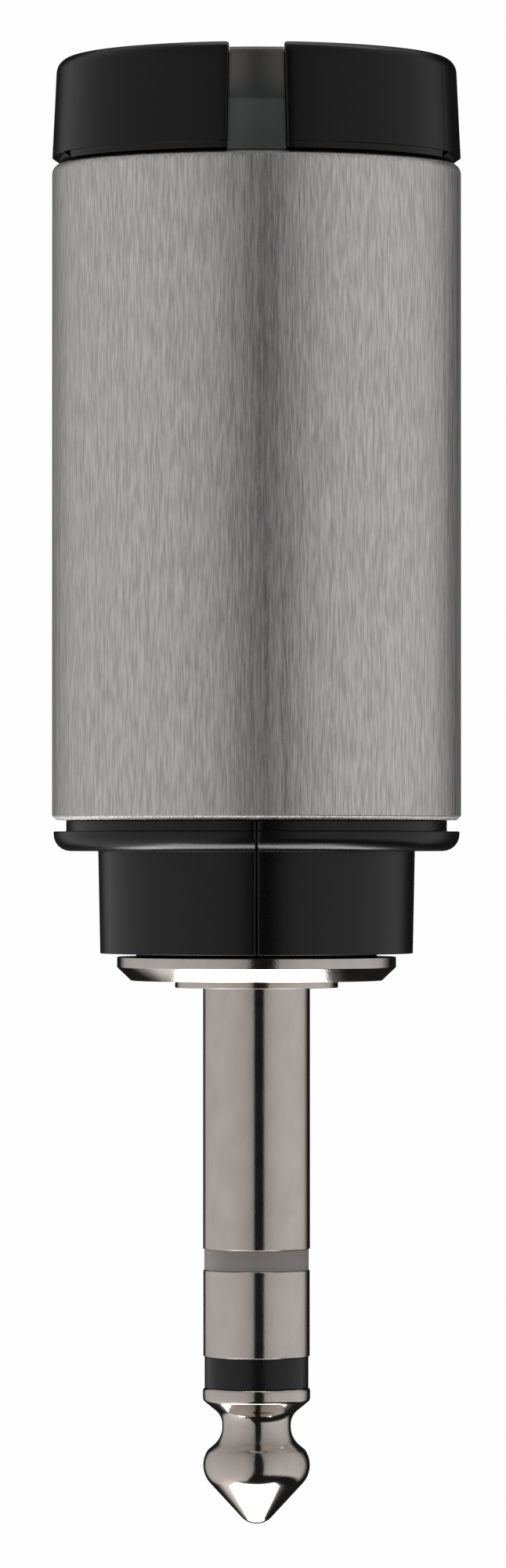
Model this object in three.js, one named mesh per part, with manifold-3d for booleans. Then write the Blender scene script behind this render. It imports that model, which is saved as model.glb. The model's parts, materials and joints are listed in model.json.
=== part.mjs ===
// A plug-in wireless audio transmitter: a brushed metal barrel on a 6.35 mm three-pole phone plug.
// Millimetres. +Z runs up the plug's axis to the cap, -Y is the front, and the origin is on the
// axis at the plane where the plug's shoulder seats on a socket.
import * as THREE from 'three';
import { mergeVertices } from 'three/addons/utils/BufferGeometryUtils.js';
import Module from 'manifold-3d';

const wasm = await Module();
wasm.setup();

// ---- Driving dimensions ----------------------------------------------------------------------

const BODY_SEGMENTS = 40;
const PLUG_SEGMENTS = 24;
const GAP = 0.05; // between two pieces that touch on the real object

// The plug, from its shoulder down to its tip. Z heights and outer radii.
const PLUG = {
  sleeveR: 3.175, sleeveEnd: -15.48,
  greyR: 3.10, greyEnd: -16.73,
  ringR: 3.16, ringEnd: -21.85,
  blackR: 3.08, blackEnd: -23.68,
  tipEnd: -31.77,
};
// Concentric tubes inside the sleeve: bore radius, and how high each one's tail stands.
const BORE = { sleeve: 2.45, grey: 1.85, ring: 1.35, black: 0.90 };
const TAIL = { sleeve: 8.6, grey: 9.4, ring: 10.6, black: 11.6, tip: 12.8 };
const THREAD_R = 4.4;

const SHOULDER = { r: 4.84, top: 0.42 };
const SEAT = { r: 8.28, chamferR: 7.45, chamferTop: 1.21, top: 1.83 };
const GASKET = { r: 7.15, top: 2.03 };
const STUB_HOLE_R = 4.6;

// The two-part moulded housing: neck, flange lip, recessed collar, and the spigot in the shell.
const NECK = { bottomR: 9.28, topR: 9.40, top: 8.09, floorTop: 3.6, pocketR: 7.6, pocketTop: 9.0 };
const LIP = { r: 12.05, roundR: 1.0, top: 9.26 };
const COLLAR = { r: 11.3, top: 9.92 };
const SPIGOT = { r: 11.0, boreR: 8.6, ledge: 13.2, ledgeR: 9.6, top: 15.0 };
const HOUSING_SCREW = { y: 9.6, z: 11.6, shankR: 0.5, headR: 0.85, headX: 1.9, headLength: 1.0, end: -3.0 };

const SHELL = { r: 12.14, boreR: 11.24, bottom: 9.92, top: 48.81, bottomChamfer: 0.22, topRound: 0.6 };

// The cap. Its outside leans in a little towards the top, and a groove crosses it front to back.
const CAP = {
  bottom: 48.86, bottomR: 12.14, topR: 11.88, edgeRound: 0.9, rise: 0.25, top: 55.35,
  lipR: 11.6, lipTop: 49.21, boreR: 9.9, roofUnder: 53.6, spigotBottom: 45.8,
};
const BAND = { height: 0.38, depth: 0.12, halfAngle: 69, slotWidth: 0.7, slotDepth: 0.45 };
// The groove is deep over the top, where the light pipe is a thick bar, and shallow down the sides.
const GROOVE = { bottomWidth: 3.5, topWidth: 3.2, sideDepth: 1.6, topDepth: 3.63 };
const TROUGH = { halfWidth: 2.9, under: 50.9 };
const LIGHT_PIPE = { recess: 0.3, stemR: 1.4, stemBottom: 48.3 };

// Inside the shell: a carrier with the circuit board in front of it and the cell behind.
const CARRIER = { baseR: 9.5, baseTop: 14.8, halfWidth: 6.5, front: -4.4, back: -3.6, bridge: 45.1, top: 46.4 };
const BOARD = { halfWidth: 8.4, front: -6.6, back: -5.8, bottom: 16, top: 45 };
const CELL = { r: 6.8, y: 3.6, bottom: 15.4, top: 43.0 };
const LED_BOARD = { r: 9.6, bottom: 46.5, top: 47.3 };
const LUG_THICKNESS = 0.4;
const SIGNAL_WIRE_R = 0.35;
const CELL_WIRE_R = 0.4;

// ---- Finishes --------------------------------------------------------------------------------

function finish(color, roughness, metalness, opacity = 1) {
  const transparent = opacity < 1;
  return new THREE.MeshStandardMaterial({ color, roughness, metalness, opacity, transparent });
}

const FINISH = {
  brushedMetal: finish(0x9a9795, 0.34, 1.0),
  nickel: finish(0xa9a39c, 0.16, 1.0),
  blackPlastic: finish(0x1c1c1c, 0.42, 0.0),
  smokedPlastic: finish(0x3c3d3c, 0.25, 0.0, 0.6),
  greyInsulator: finish(0x767170, 0.5, 0.0),
  blackInsulator: finish(0x161616, 0.35, 0.0),
  rubber: finish(0x101010, 0.8, 0.0),
  steel: finish(0x8c8d8f, 0.35, 1.0),
  brass: finish(0xb08d4f, 0.3, 1.0),
  boardGreen: finish(0x1f4a33, 0.5, 0.0),
  chipBlack: finish(0x1b1b1d, 0.6, 0.0),
  carrierPlastic: finish(0x2b2c2e, 0.6, 0.0),
  cellWrap: finish(0x2f4f78, 0.45, 0.0),
  foam: finish(0x26262a, 0.95, 0.0),
  redWire: finish(0x9c1f1c, 0.5, 0.0),
  blackWire: finish(0x151515, 0.5, 0.0),
  whiteWire: finish(0xc9c9c4, 0.5, 0.0),
  ledWhite: finish(0xe8e4d6, 0.3, 0.0),
  amberFilm: finish(0xa5641f, 0.4, 0.0),
};

// ---- Solids ----------------------------------------------------------------------------------

const transmitter = new THREE.Group();

// Six times the volume under a triangle: its sign says which way the faces point.
function signedVolume(at, triangles) {
  const [a, b, c] = [new THREE.Vector3(), new THREE.Vector3(), new THREE.Vector3()];
  let sum = 0;
  for (let i = 0; i < triangles.length; i += 3) {
    a.fromArray(at, 3 * triangles[i]);
    b.fromArray(at, 3 * triangles[i + 1]);
    c.fromArray(at, 3 * triangles[i + 2]);
    sum += a.dot(b.cross(c));
  }
  return sum;
}

// A closed geometry as a manifold solid, with its faces pointing out.
function solid(geometry) {
  geometry.deleteAttribute('normal');
  geometry.deleteAttribute('uv');
  const merged = mergeVertices(geometry, 1e-4);
  const at = merged.attributes.position.array;
  const triangles = [];
  for (let i = 0; i < merged.index.count; i += 3) {
    const [a, b, c] = merged.index.array.subarray(i, i + 3);
    if (a !== b && b !== c && c !== a) {
      triangles.push(a, b, c);
    }
  }
  if (signedVolume(at, triangles) < 0) {
    triangles.reverse();
  }
  const vertProperties = Float32Array.from(at);
  const triVerts = Uint32Array.from(triangles);
  return new wasm.Manifold(new wasm.Mesh({ numProp: 3, vertProperties, triVerts }));
}

// Adds one named piece to the object.
function add(name, piece, material) {
  const { vertProperties, triVerts } = piece.getMesh();
  const geometry = new THREE.BufferGeometry();
  geometry.setAttribute('position', new THREE.BufferAttribute(vertProperties, 3));
  geometry.setIndex(new THREE.BufferAttribute(triVerts, 1));
  geometry.computeVertexNormals();
  const mesh = new THREE.Mesh(geometry, material);
  mesh.name = name;
  transmitter.add(mesh);
}

// An outline of [radius, height] points turned about Z. A ring's outline closes on itself.
function turned(outline, segments) {
  const onAxis = outline[0][0] === 0;
  const closed = onAxis ? outline : [...outline, outline[0]];
  const points = closed.map(([r, z]) => new THREE.Vector2(r, z));
  return solid(new THREE.LatheGeometry(points, segments).rotateX(Math.PI / 2));
}

// Points on a circle in the outline's plane. Angles are degrees from the outward direction.
function arc(r, z, radius, from, to, steps) {
  const points = [];
  for (let i = 0; i <= steps; i += 1) {
    const angle = THREE.MathUtils.degToRad(from + (to - from) * i / steps);
    points.push([r + radius * Math.cos(angle), z + radius * Math.sin(angle)]);
  }
  return points;
}

function ring(innerR, outerR, bottom, top, segments) {
  return turned([[innerR, bottom], [outerR, bottom], [outerR, top], [innerR, top]], segments);
}

function disc(r, bottom, top, segments) {
  return turned([[0, bottom], [r, bottom], [r, top], [0, top]], segments);
}

// A block between two corners.
function block([x0, y0, z0], [x1, y1, z1]) {
  const geometry = new THREE.BoxGeometry(x1 - x0, y1 - y0, z1 - z0);
  return solid(geometry.translate((x0 + x1) / 2, (y0 + y1) / 2, (z0 + z1) / 2));
}

// A flat shape standing up from a height.
function plate(shape, bottom, thickness, curveSegments = 10) {
  const geometry = new THREE.ExtrudeGeometry(shape, { depth: thickness, bevelEnabled: false, curveSegments });
  return solid(geometry.translate(0, 0, bottom));
}

function wire(name, points, radius, material) {
  const section = new THREE.Shape().absarc(0, 0, radius, 0, 2 * Math.PI);
  const path = new THREE.CatmullRomCurve3(points.map((point) => new THREE.Vector3(...point)));
  const geometry = new THREE.ExtrudeGeometry(section, { steps: 12, curveSegments: 4, extrudePath: path });
  add(name, solid(geometry), material);
}

// ---- Plug ------------------------------------------------------------------------------------

// The tip, from the centre rod's top down: a rounded head, a hollow waist, a bulb, a cone and a
// ball end.
function tipOutline() {
  const head = { r: 3.185, topCorner: 0.22, lowCorner: 0.3, lowZ: -24.3 };
  const waistR = 2.034;
  const upperWaist = { z: -25.9, radius: 1.09 };
  const lowerWaist = { z: -26.02, radius: 1.43 };
  const bulb = { r: 3.165, z: -28.3, radius: 1.578 };
  const ballR = 1.213;
  const [neckAngle, flareAngle, bulbAngle, coneAngle] = [50, 48, 34.5, -43];
  const rodR = BORE.black - GAP;
  return [
    [0, TAIL.tip],
    [rodR, TAIL.tip],
    [rodR, PLUG.blackEnd],
    ...arc(head.r - head.topCorner, PLUG.blackEnd - head.topCorner, head.topCorner, 90, 0, 2),
    ...arc(head.r - head.lowCorner, head.lowZ, head.lowCorner, 0, -neckAngle, 2),
    ...arc(waistR + upperWaist.radius, upperWaist.z, upperWaist.radius, 180 - neckAngle, 180, 3),
    ...arc(waistR + lowerWaist.radius, lowerWaist.z, lowerWaist.radius, 180, 180 + flareAngle, 3),
    ...arc(bulb.r - bulb.radius, bulb.z, bulb.radius, bulbAngle, 0, 2),
    ...arc(bulb.r - bulb.radius, bulb.z, bulb.radius, 0, coneAngle, 3).slice(1),
    ...arc(0, PLUG.tipEnd + ballR, ballR, coneAngle, -90, 3).slice(0, -1),
    [0, PLUG.tipEnd],
  ];
}

// A contact or insulator: a collar that shows, and a thin tube that runs up inside the sleeve.
function poleOutline(collarR, bottom, top, boreR, tubeR, tailTop) {
  return [[boreR, bottom], [collarR, bottom], [collarR, top], [tubeR, top], [tubeR, tailTop], [boreR, tailTop]];
}

function addPole(name, collarR, bottom, top, boreR, outsideBoreR, tailTop, material) {
  const outline = poleOutline(collarR, bottom, top, boreR, outsideBoreR - GAP, tailTop);
  add(name, turned(outline, PLUG_SEGMENTS), material);
}

function addPlug() {
  const sleeve = [
    [BORE.sleeve, PLUG.sleeveEnd],
    [PLUG.sleeveR, PLUG.sleeveEnd],
    [PLUG.sleeveR, 0],
    [SHOULDER.r, 0],
    [SHOULDER.r, SHOULDER.top],
    [THREAD_R, SHOULDER.top],
    [THREAD_R, TAIL.sleeve],
    [BORE.sleeve, TAIL.sleeve],
  ];
  add('plug_sleeve', turned(sleeve, PLUG_SEGMENTS), FINISH.nickel);
  addPole('ring_insulator', PLUG.greyR, PLUG.greyEnd, PLUG.sleeveEnd, BORE.grey, BORE.sleeve, TAIL.grey,
    FINISH.greyInsulator);
  addPole('plug_ring', PLUG.ringR, PLUG.ringEnd, PLUG.greyEnd, BORE.ring, BORE.grey, TAIL.ring, FINISH.nickel);
  addPole('tip_insulator', PLUG.blackR, PLUG.blackEnd, PLUG.ringEnd, BORE.black, BORE.ring, TAIL.black,
    FINISH.blackInsulator);
  add('plug_tip', turned(tipOutline(), PLUG_SEGMENTS), FINISH.nickel);
}

function addSeat() {
  const seat = [
    [THREAD_R + GAP, SHOULDER.top],
    [SEAT.chamferR, SHOULDER.top],
    [SEAT.r, SEAT.chamferTop],
    [SEAT.r, SEAT.top],
    [THREAD_R + GAP, SEAT.top],
  ];
  add('seat_washer', turned(seat, BODY_SEGMENTS), FINISH.nickel);
  add('neck_gasket', ring(STUB_HOLE_R, GASKET.r, SEAT.top, GASKET.top, BODY_SEGMENTS), FINISH.rubber);
}

// ---- Plug fixing and solder lugs, inside the neck --------------------------------------------

const LUG_STACK = { sleeveLug: NECK.floorTop, washer: 4.0, nut: 4.6, nutTop: 7.1, ringLug: 9.5, tipLug: 11.8 };

function ringShape(innerR, outerR) {
  const shape = new THREE.Shape().absarc(0, 0, outerR, 0, 2 * Math.PI);
  shape.holes.push(new THREE.Path().absarc(0, 0, innerR, 0, 2 * Math.PI, true));
  return shape;
}

function hexNut() {
  const acrossCorners = 6.35;
  const shape = new THREE.Shape();
  for (let i = 0; i < 6; i += 1) {
    const angle = i * Math.PI / 3;
    const [x, y] = [acrossCorners * Math.cos(angle), acrossCorners * Math.sin(angle)];
    if (i === 0) {
      shape.moveTo(x, y);
    } else {
      shape.lineTo(x, y);
    }
  }
  shape.closePath();
  shape.holes.push(new THREE.Path().absarc(0, 0, THREAD_R + GAP, 0, 2 * Math.PI, true));
  return plate(shape, LUG_STACK.nut, LUG_STACK.nutTop - LUG_STACK.nut);
}

// A washer with teeth round its outer edge.
function toothedWasher() {
  const teeth = 12;
  const [rootR, toothR] = [5.6, 6.3];
  const shape = new THREE.Shape().moveTo(toothR, 0);
  for (let i = 0; i < teeth; i += 1) {
    for (const [part, r] of [[0.35, toothR], [0.5, rootR], [0.85, rootR], [1, toothR]]) {
      const angle = (i + part) * 2 * Math.PI / teeth;
      shape.lineTo(r * Math.cos(angle), r * Math.sin(angle));
    }
  }
  shape.holes.push(new THREE.Path().absarc(0, 0, THREAD_R + GAP, 0, 2 * Math.PI, true));
  return plate(shape, LUG_STACK.washer, LUG_STACK.nut - LUG_STACK.washer);
}

// A flat lug: an eye round a tube, and a tail that points along -X before it is turned.
function eyeLug(innerR, outerR, tailEnd, tailWidth, bottom, turn) {
  const eye = plate(ringShape(innerR, outerR), bottom, LUG_THICKNESS);
  const middleR = (innerR + outerR) / 2;
  const half = tailWidth / 2;
  const tail = block([-tailEnd, -half, bottom], [-middleR, half, bottom + LUG_THICKNESS]);
  return eye.add(tail).rotate([0, 0, turn]);
}

function addFixing() {
  const tabX = 6.7;
  const tabTop = 9.6;
  const flatLug = eyeLug(THREAD_R + GAP, 6.2, tabX + LUG_THICKNESS, 2, LUG_STACK.sleeveLug, 180);
  const tab = block([tabX, -1, LUG_STACK.sleeveLug], [tabX + LUG_THICKNESS, 1, tabTop]);
  add('sleeve_lug', flatLug.add(tab), FINISH.brass);
  add('lock_washer', toothedWasher(), FINISH.steel);
  add('plug_nut', hexNut(), FINISH.nickel);
  add('ring_lug', eyeLug(BORE.grey, 3.0, 6, 1.6, LUG_STACK.ringLug, 0), FINISH.brass);
  add('tip_lug', eyeLug(BORE.black, 2.0, 5, 1.6, LUG_STACK.tipLug, 90), FINISH.brass);
}

function addSignalWires() {
  // Each wire goes up through the carrier's front slot to the foot of the board.
  const boardZ = BOARD.bottom + 0.8;
  const wireY = BOARD.front - SIGNAL_WIRE_R - GAP;
  const rise = (x) => [[x, -7.45, 13.8], [x, -7.5, 15.2], [x, wireY, boardZ]];
  wire('tip_wire', [[0, -4.4, 12.7], [0, -5.8, 12.75], ...rise(0)], SIGNAL_WIRE_R, FINISH.whiteWire);
  wire('ring_wire', [[-5.5, -0.3, 10.4], [-5.5, -3, 10.9], [-3.6, -6.3, 12], ...rise(-2.4)], SIGNAL_WIRE_R,
    FINISH.redWire);
  wire('sleeve_wire', [[6.8, -0.3, 10.1], [6.2, -3, 10.7], [4, -6.3, 12], ...rise(2.4)], SIGNAL_WIRE_R,
    FINISH.blackWire);
}

// ---- Housing ---------------------------------------------------------------------------------

function housingOutline() {
  const roundR = LIP.r - LIP.roundR;
  return [
    [STUB_HOLE_R, GASKET.top],
    [NECK.bottomR, GASKET.top],
    [NECK.topR, NECK.top],
    ...arc(roundR, NECK.top + LIP.roundR, LIP.roundR, -90, 0, 5),
    [LIP.r, LIP.top],
    [COLLAR.r, LIP.top],
    [COLLAR.r, COLLAR.top],
    [SPIGOT.r, COLLAR.top],
    [SPIGOT.r, SPIGOT.top],
    [SPIGOT.ledgeR, SPIGOT.top],
    [SPIGOT.ledgeR, SPIGOT.ledge],
    [SPIGOT.boreR, SPIGOT.ledge],
    [SPIGOT.boreR, NECK.pocketTop],
    [NECK.pocketR, NECK.pocketTop],
    [NECK.pocketR, NECK.floorTop],
    [STUB_HOLE_R, NECK.floorTop],
  ];
}

// A cylinder along X at a housing screw's place.
function screwRod(r, fromX, toX, side) {
  const geometry = new THREE.CylinderGeometry(r, r, toX - fromX, 12).rotateZ(Math.PI / 2);
  return solid(geometry.translate((fromX + toX) / 2, side * HOUSING_SCREW.y, HOUSING_SCREW.z));
}

function housingScrew(side) {
  const { shankR, headR, headX, headLength, end } = HOUSING_SCREW;
  return screwRod(headR, headX, headX + headLength, side).add(screwRod(shankR, end, headX + GAP, side));
}

function screwHole(side) {
  const { shankR, headR, headX, end } = HOUSING_SCREW;
  const clearance = 0.08;
  const counterbore = screwRod(headR + clearance, headX, SPIGOT.r, side);
  return counterbore.add(screwRod(shankR + clearance, end - clearance, headX + GAP, side));
}

// Two mirrored halves meet on the plane X = 0, and a screw at the front and the rear holds them.
function addHousing() {
  const whole = turned(housingOutline(), BODY_SEGMENTS).subtract(screwHole(-1)).subtract(screwHole(1));
  const reach = 2 * LIP.r;
  add('housing_left', whole.intersect(block([-reach, -reach, 0], [0, reach, reach])), FINISH.blackPlastic);
  add('housing_right', whole.intersect(block([0, -reach, 0], [reach, reach, reach])), FINISH.blackPlastic);
  add('housing_screw_front', housingScrew(-1), FINISH.steel);
  add('housing_screw_rear', housingScrew(1), FINISH.steel);
}

// ---- Shell, cap and light pipe ---------------------------------------------------------------

function addShell() {
  const shell = [
    [SHELL.boreR, SHELL.bottom],
    [SHELL.r - SHELL.bottomChamfer, SHELL.bottom],
    [SHELL.r, SHELL.bottom + SHELL.bottomChamfer],
    ...arc(SHELL.r - SHELL.topRound, SHELL.top - SHELL.topRound, SHELL.topRound, 0, 90, 3),
    [SHELL.boreR, SHELL.top],
  ];
  add('metal_shell', turned(shell, BODY_SEGMENTS), FINISH.brushedMetal);
}

// The cap's outside as a closed outline, moved in from its side and down from its top.
function capOutside(bottom, inset = 0, topInset = inset) {
  const edgeR = CAP.edgeRound - inset / 2;
  const shoulderZ = CAP.top - CAP.rise - topInset - edgeR;
  const shoulderR = CAP.topR - inset;
  return [
    [0, bottom],
    [CAP.bottomR - inset, bottom],
    ...arc(shoulderR - edgeR, shoulderZ, edgeR, 0, 86, 4),
    [shoulderR / 2, CAP.top - CAP.rise / 4 - topInset],
    [0, CAP.top - topInset],
  ];
}

function capBlank() {
  return turned([
    [0, CAP.roofUnder],
    [CAP.boreR, CAP.roofUnder],
    [CAP.boreR, CAP.spigotBottom],
    [SPIGOT.r, CAP.spigotBottom],
    [SPIGOT.r, CAP.bottom],
    [CAP.lipR, CAP.bottom],
    [CAP.bottomR, CAP.lipTop],
    ...capOutside(CAP.bottom).slice(2),
  ], BODY_SEGMENTS);
}

// The groove's full section, narrower towards the top, running right through along Y.
function grooveBar(sideGap, bottom) {
  const [low, high] = [GROOVE.bottomWidth / 2 - sideGap, GROOVE.topWidth / 2 - sideGap];
  const top = CAP.top + 1;
  const lean = (low - high) / (CAP.top - CAP.bottom);
  const widthAt = (z) => low - lean * (z - CAP.bottom);
  const length = 2 * CAP.bottomR + 2;
  const shape = new THREE.Shape();
  shape.moveTo(-widthAt(bottom), bottom);
  shape.lineTo(widthAt(bottom), bottom);
  shape.lineTo(widthAt(top), top);
  shape.lineTo(-widthAt(top), top);
  shape.closePath();
  const geometry = new THREE.ExtrudeGeometry(shape, { depth: length, bevelEnabled: false });
  return solid(geometry.translate(0, 0, -length / 2).rotateX(Math.PI / 2));
}

// The front and rear stretches of a ring, further than a distance from the plane Y = 0.
function frontAndRear(innerR, outerR, bottom, top, endY) {
  const reach = 2 * outerR;
  const middle = block([-reach, -endY, bottom - 1], [reach, endY, top + 1]);
  return ring(innerR, outerR, bottom, top, BODY_SEGMENTS).subtract(middle);
}

// A shallow band round the cap's lower edge at the front and the rear, with a slot at each end.
// The edge's chamfer is filled behind the band.
function withBand(cap) {
  const endY = CAP.bottomR * Math.cos(THREE.MathUtils.degToRad(BAND.halfAngle));
  const top = CAP.bottom + BAND.height;
  const [below, clearR] = [CAP.bottom - 1, CAP.bottomR + 1];
  const bandR = CAP.bottomR - BAND.depth;
  const slotR = bandR - BAND.slotDepth;
  const wall = frontAndRear(CAP.lipR - BAND.height, bandR, CAP.bottom, top, endY);
  const rebate = frontAndRear(bandR, clearR, below, top, endY);
  const band = frontAndRear(slotR, clearR, below, top, endY + BAND.slotWidth);
  const slots = frontAndRear(slotR, clearR, below, top, endY).subtract(band);
  return cap.add(wall).subtract(rebate).subtract(slots);
}

// A beam across the cap's hollow that carries the deep part of the groove.
function trough() {
  const reach = CAP.bottomR;
  const beam = block([-TROUGH.halfWidth, -reach, TROUGH.under], [TROUGH.halfWidth, reach, CAP.roofUnder + GAP]);
  return beam.intersect(disc(CAP.boreR + GAP, TROUGH.under - 1, CAP.top, BODY_SEGMENTS));
}

function addCap() {
  const core = turned(capOutside(CAP.bottom - 2, GROOVE.sideDepth, GROOVE.topDepth), BODY_SEGMENTS);
  const groove = grooveBar(0, CAP.bottom).subtract(core);
  const stemHole = disc(LIGHT_PIPE.stemR + 2 * GAP, TROUGH.under - 1, CAP.roofUnder, PLUG_SEGMENTS);
  const body = withBand(capBlank()).add(trough());
  add('top_cap', body.subtract(groove).subtract(stemHole), FINISH.blackPlastic);
}

// An arch that lies in the cap's groove, with a stem down to the lamp on the round board.
function addLightPipe() {
  const { recess, stemR, stemBottom } = LIGHT_PIPE;
  const { sideDepth, topDepth } = GROOVE;
  const outside = turned(capOutside(CAP.bottom, recess), BODY_SEGMENTS);
  const inside = turned(capOutside(CAP.bottom - 1, sideDepth - GAP, topDepth - GAP), BODY_SEGMENTS);
  const arch = grooveBar(GAP, CAP.bottom).intersect(outside).subtract(inside);
  const stem = disc(stemR, stemBottom, CAP.top - topDepth + 0.5, PLUG_SEGMENTS);
  add('light_pipe', arch.add(stem), FINISH.smokedPlastic);
}

// ---- Inside the shell ------------------------------------------------------------------------

function addCarrier() {
  const { baseR, baseTop, halfWidth, front, back, bridge, top } = CARRIER;
  const ledgeFront = BOARD.front - 0.2;
  const base = disc(baseR, SPIGOT.ledge, baseTop, PLUG_SEGMENTS);
  const wireSlot = block([-3.6, -8.2, SPIGOT.ledge - 1], [3.6, -5.4, baseTop + 1]);
  const spine = block([-halfWidth, front, baseTop - GAP], [halfWidth, back, bridge + GAP]);
  const roof = block([-halfWidth, ledgeFront + 0.4, bridge], [halfWidth, 5, top]);
  let carrier = base.subtract(wireSlot).add(spine).add(roof);
  for (const side of [-1, 1]) {
    const foot = block([-1, ledgeFront, baseTop - GAP], [1, front + GAP, BOARD.bottom - GAP]);
    carrier = carrier.add(foot.translate([side * 5.4, 0, 0]));
  }
  add('carrier_frame', carrier, FINISH.carrierPlastic);
}

// A component on the board's front face, or on its back face where back is true.
function addChip(name, x0, x1, z0, z1, height, material, back = false) {
  const face = back ? BOARD.back + GAP : BOARD.front - GAP;
  const far = back ? face + height : face - height;
  add(name, block([x0, Math.min(face, far), z0], [x1, Math.max(face, far), z1]), material);
}

function addShieldCan() {
  const [halfWidth, bottom, top, height, wall] = [5.5, 30, 40, 1.5, 0.2];
  const face = BOARD.front - GAP;
  const outside = block([-halfWidth, face - height, bottom], [halfWidth, face, top]);
  const inside = block([wall - halfWidth, face - height + wall, bottom + wall],
    [halfWidth - wall, face + 1, top - wall]);
  add('radio_shield_can', outside.subtract(inside), FINISH.steel);
}

function addBoard() {
  const { halfWidth, front, back, bottom, top } = BOARD;
  add('main_board', block([-halfWidth, front, bottom], [halfWidth, back, top]), FINISH.boardGreen);
  addShieldCan();
  addChip('radio_chip', -2.5, 2.5, 32.5, 37.5, 0.8, FINISH.chipBlack);
  addChip('processor_chip', -6, 0, 22, 28, 0.9, FINISH.chipBlack);
  addChip('crystal_can', 2, 4.5, 24, 28, 0.8, FINISH.steel);
  addChip('audio_converter_chip', -2, 2, 18, 21, 0.8, FINISH.chipBlack);
  addChip('charger_chip', -4, -1, 20, 23, 0.75, FINISH.chipBlack, true);
  addChip('cell_connector', 5.2, 8.0, 40.6, 43.2, 1.2, FINISH.whiteWire, true);
}

function addCell() {
  const padR = 5.5;
  const place = [0, CELL.y, 0];
  const cell = disc(CELL.r, CELL.bottom, CELL.top, PLUG_SEGMENTS).translate(place);
  const lowerPad = disc(padR, CARRIER.baseTop, CELL.bottom - GAP, PLUG_SEGMENTS).translate([0, 2, 0]);
  const upperPad = disc(padR, CELL.top + GAP, CARRIER.bridge - GAP, PLUG_SEGMENTS).translate(place);
  add('battery_cell', cell, FINISH.cellWrap);
  add('cell_pad_lower', lowerPad, FINISH.foam);
  add('cell_pad_upper', upperPad, FINISH.foam);
  wire('cell_wire_positive', [[7.4, 3.5, 42.2], [8.8, 1.5, 42.8], [9.0, -2, 42.9], [8.5, -5.1, 42.6]],
    CELL_WIRE_R, FINISH.redWire);
  wire('cell_wire_negative',
    [[7.4, 2.5, 16.6], [8.6, 0.6, 19], [8.8, 0, 30], [8.8, -2, 38.5], [8.5, -5.1, 41.2]],
    CELL_WIRE_R, FINISH.blackWire);
}

// A stamped strip with two feet, standing on the round board where only plastic covers it.
function antennaStrip() {
  const [bottom, underside, top] = [LED_BOARD.top + GAP, 49.4, 50.4];
  const shape = new THREE.Shape();
  const corners = [[-7, bottom], [-6.2, bottom], [-6.2, underside], [-4, underside], [-4, bottom],
    [-3.2, bottom], [-3.2, underside], [7, underside], [7, top], [-7, top]];
  corners.forEach(([x, z], i) => (i === 0 ? shape.moveTo(x, z) : shape.lineTo(x, z)));
  shape.closePath();
  const geometry = new THREE.ExtrudeGeometry(shape, { depth: 0.3, bevelEnabled: false });
  return solid(geometry.rotateX(Math.PI / 2).translate(0, 5.3, 0));
}

function addTopBoard() {
  const ledBottom = LED_BOARD.top + GAP;
  const cableBack = BOARD.front - GAP;
  add('led_board', disc(LED_BOARD.r, LED_BOARD.bottom, LED_BOARD.top, PLUG_SEGMENTS), FINISH.boardGreen);
  add('status_led', block([-0.9, -0.9, ledBottom], [0.9, 0.9, ledBottom + 0.6]), FINISH.ledWhite);
  add('antenna', antennaStrip(), FINISH.brass);
  add('board_link_cable', block([-3, cableBack - 0.15, 41], [3, cableBack, LED_BOARD.bottom - GAP]),
    FINISH.amberFilm);
}

addPlug();
addSeat();
addFixing();
addSignalWires();
addHousing();
addShell();
addCap();
addLightPipe();
addCarrier();
addBoard();
addCell();
addTopBoard();

export default transmitter;
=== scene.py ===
"""Looks for a plug-in wireless audio transmitter: a brushed metal barrel on a 6.35 mm phone plug.

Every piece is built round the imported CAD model's axis, in metres, with its size read from the
CAD nodes. Z runs up the plug's axis and -Y is the front.
"""

import json
import math

import bmesh
import bpy
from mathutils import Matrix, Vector


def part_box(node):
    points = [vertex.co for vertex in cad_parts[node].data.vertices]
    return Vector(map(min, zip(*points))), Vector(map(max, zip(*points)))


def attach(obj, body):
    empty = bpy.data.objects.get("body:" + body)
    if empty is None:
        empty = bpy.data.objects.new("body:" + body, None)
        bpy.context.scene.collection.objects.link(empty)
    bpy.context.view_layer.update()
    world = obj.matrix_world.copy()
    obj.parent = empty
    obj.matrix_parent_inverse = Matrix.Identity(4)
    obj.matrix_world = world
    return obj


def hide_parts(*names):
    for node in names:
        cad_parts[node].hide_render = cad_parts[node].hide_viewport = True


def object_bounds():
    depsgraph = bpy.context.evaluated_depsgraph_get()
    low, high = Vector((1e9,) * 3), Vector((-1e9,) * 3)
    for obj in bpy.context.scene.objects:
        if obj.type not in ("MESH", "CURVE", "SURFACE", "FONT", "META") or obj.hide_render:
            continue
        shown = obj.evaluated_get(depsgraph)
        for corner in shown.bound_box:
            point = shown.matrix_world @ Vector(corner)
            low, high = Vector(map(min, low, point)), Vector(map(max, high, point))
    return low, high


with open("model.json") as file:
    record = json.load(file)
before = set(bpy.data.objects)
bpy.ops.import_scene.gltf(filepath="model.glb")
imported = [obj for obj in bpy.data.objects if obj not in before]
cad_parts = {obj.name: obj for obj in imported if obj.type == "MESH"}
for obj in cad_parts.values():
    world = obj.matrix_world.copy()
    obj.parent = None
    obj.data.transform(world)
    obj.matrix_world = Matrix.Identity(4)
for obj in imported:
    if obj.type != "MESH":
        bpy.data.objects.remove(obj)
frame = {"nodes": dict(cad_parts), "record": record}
cad_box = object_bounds()

MM = 0.001
BODY_STEPS = 240
PLUG_STEPS = 144
BAR_DEPTH = 3.63 * MM  # how deep the groove is over the cap's top, where the light pipe is a bar


def span(node):
    """A CAD node's outer radius, bottom and top, in metres."""
    low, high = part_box(node)
    return high.x, low.z, high.z


# ---- Outlines: lists of (radius, height) -------------------------------------------------------


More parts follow.
